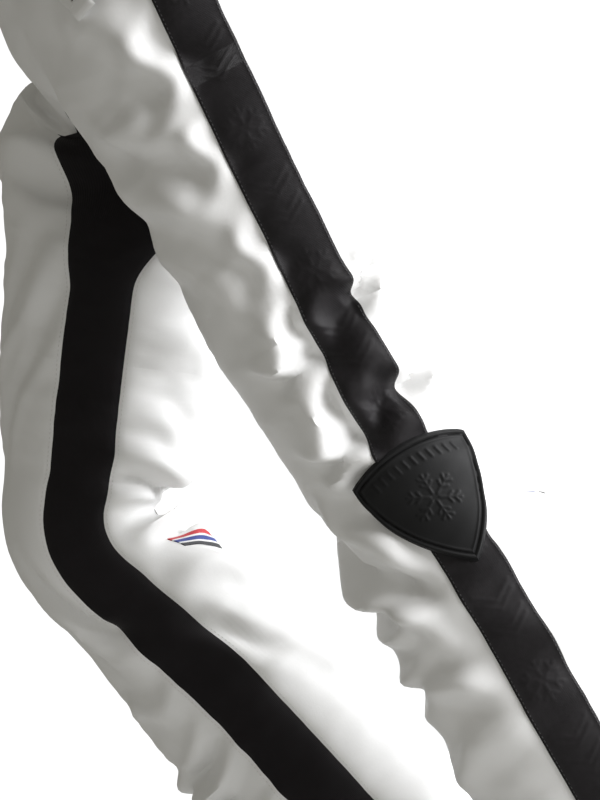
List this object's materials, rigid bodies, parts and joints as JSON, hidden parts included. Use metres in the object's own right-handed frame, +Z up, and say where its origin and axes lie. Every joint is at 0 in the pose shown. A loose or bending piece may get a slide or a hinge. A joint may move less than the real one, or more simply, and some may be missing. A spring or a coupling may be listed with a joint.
{
  "type": "ski pants",
  "caption": "White shell ski pants in a stride, with black side tapes, shield badges at the knees, inner stretch panels, zips and snow cuffs.",
  "frame": {"origin": "centre of the waistband's top rim", "axes": "+Z up, -Y to the wearer's front, +X to the wearer's left"},
  "size_m": [0.3702, 0.4831, 1.0664],
  "materials": {
    "white_shell": "smooth matte-satin woven shell with soft folds",
    "black_stretch": "deep matte stretch knit",
    "black_tape": "dense textile tape with raised pattern",
    "black_rubber": "moulded matte rubber",
    "grey_lining": "light taffeta lining",
    "dark_metal": "satin black coated zinc",
    "tricolour_trim": "woven ribbon in red, blue and dark grey"
  },
  "bodies": {
    "seat": {"waistband": "white_shell", "belt_loop_1": "black_tape", "belt_loop_2": "black_tape", "belt_loop_3": "black_tape", "belt_loop_4": "black_tape", "snap_stud_upper": "dark_metal", "snap_stud_lower": "dark_metal", "fly_shield": "white_shell", "fly_zip_tape": "black_tape", "left_front_hip_panel": "white_shell", "left_back_hip_panel": "white_shell", "left_hip_tape": "black_tape", "left_upper_leg": "white_shell", "left_pocket_zip_tape": "black_tape", "left_pocket_bag": "grey_lining", "right_front_hip_panel": "white_shell", "right_back_hip_panel": "white_shell", "right_hip_tape": "black_tape", "right_upper_leg": "white_shell", "right_pocket_zip_tape": "black_tape", "right_pocket_bag": "grey_lining"},
    "waist_tab": {"waist_tab": "white_shell", "snap_cap_upper": "dark_metal", "snap_cap_lower": "dark_metal"},
    "fly_slider": {"fly_zip_slider": "dark_metal"},
    "fly_pull": {"fly_zip_pull": "dark_metal"},
    "left_thigh": {"left_front_thigh": "white_shell", "left_back_thigh": "white_shell", "left_inner_thigh": "black_stretch", "left_thigh_tape": "black_tape", "left_knee": "white_shell"},
    "left_shin": {"left_front_shin": "white_shell", "left_back_shin": "white_shell", "left_inner_shin": "black_stretch", "left_shin_tape": "black_tape", "left_knee_badge": "black_rubber", "left_knee_trim": "tricolour_trim", "left_hem_binding": "black_tape", "left_snow_cuff": "grey_lining", "left_cuff_grip": "black_rubber"},
    "left_pocket_slider": {"left_pocket_zip_slider": "dark_metal"},
    "left_pocket_pull": {"left_pocket_zip_pull": "dark_metal"},
    "left_adjuster": {"left_adjuster_tab": "black_tape"},
    "right_thigh": {"right_front_thigh": "white_shell", "right_back_thigh": "white_shell", "right_inner_thigh": "black_stretch", "right_thigh_tape": "black_tape", "right_knee": "white_shell"},
    "right_shin": {"right_front_shin": "white_shell", "right_back_shin": "white_shell", "right_inner_shin": "black_stretch", "right_shin_tape": "black_tape", "right_knee_badge": "black_rubber", "right_knee_trim": "tricolour_trim", "right_hem_binding": "black_tape", "right_snow_cuff": "grey_lining", "right_cuff_grip": "black_rubber"},
    "right_pocket_slider": {"right_pocket_zip_slider": "dark_metal"},
    "right_pocket_pull": {"right_pocket_zip_pull": "dark_metal"},
    "right_adjuster": {"right_adjuster_tab": "black_tape"}
  },
  "joints": [
    {"name": "left_hip", "type": "hinge", "parent": "seat", "child": "left_thigh", "pos_m": [0.09, 0, -0.175], "axis": [1, 0, 0], "range_deg": [-96, 14], "deforming": ["left_upper_leg"]},
    {"name": "left_knee", "type": "hinge", "parent": "left_thigh", "child": "left_shin", "pos_m": [0.076, 0.0643, -0.5956], "axis": [1, 0, 0], "range_deg": [-2.5, 96], "deforming": ["left_knee"]},
    {"name": "right_hip", "type": "hinge", "parent": "seat", "child": "right_thigh", "pos_m": [-0.09, 0, -0.175], "axis": [1, 0, 0], "range_deg": [-61.5, 48.5], "deforming": ["right_upper_leg"]},
    {"name": "right_knee", "type": "hinge", "parent": "right_thigh", "child": "right_shin", "pos_m": [-0.076, -0.1852, -0.558], "axis": [1, 0, 0], "range_deg": [-50, 48.5], "deforming": ["right_knee"]},
    {"name": "fly_zip", "type": "slide", "parent": "seat", "child": "fly_slider", "axis": [0, -0.0666, -0.9978], "range_m": [0, 0.105]},
    {"name": "fly_pull", "type": "hinge", "parent": "fly_slider", "child": "fly_pull", "pos_m": [0, -0.11306, -0.05973], "axis": [-1, 0, 0], "range_deg": [0, 150]},
    {"name": "left_pocket_zip", "type": "slide", "parent": "seat", "child": "left_pocket_slider", "axis": [0.3117, 0.141, -0.9397], "range_m": [0, 0.078]},
    {"name": "left_pocket_pull", "type": "hinge", "parent": "left_pocket_slider", "child": "left_pocket_pull", "pos_m": [0.13502, -0.07013, -0.06979], "axis": [-0.5821, -0.7533, -0.3061], "range_deg": [0, 150]},
    {"name": "right_pocket_zip", "type": "slide", "parent": "seat", "child": "right_pocket_slider", "axis": [-0.3322, 0.1381, -0.933], "range_m": [0, 0.078]},
    {"name": "right_pocket_pull", "type": "hinge", "parent": "right_pocket_slider", "child": "right_pocket_pull", "pos_m": [-0.13512, -0.07018, -0.06955], "axis": [-0.5784, 0.7515, 0.3172], "range_deg": [0, 150]},
    {"name": "left_adjuster", "type": "hinge", "parent": "seat", "child": "left_adjuster", "pos_m": [0.15107, 0.0061, -0.0221], "axis": [0.1175, 0.0513, -0.9917], "range_deg": [0, 100]},
    {"name": "right_adjuster", "type": "hinge", "parent": "seat", "child": "right_adjuster", "pos_m": [-0.15107, 0.0061, -0.0221], "axis": [0.1175, -0.0513, 0.9917], "range_deg": [0, 100]},
    {"name": "waist_tab", "type": "hinge", "parent": "seat", "child": "waist_tab", "pos_m": [0.0202, -0.1079, -0.023], "axis": [-0.0205, 0.111, 0.9936], "range_deg": [0, 110]}
  ]
}
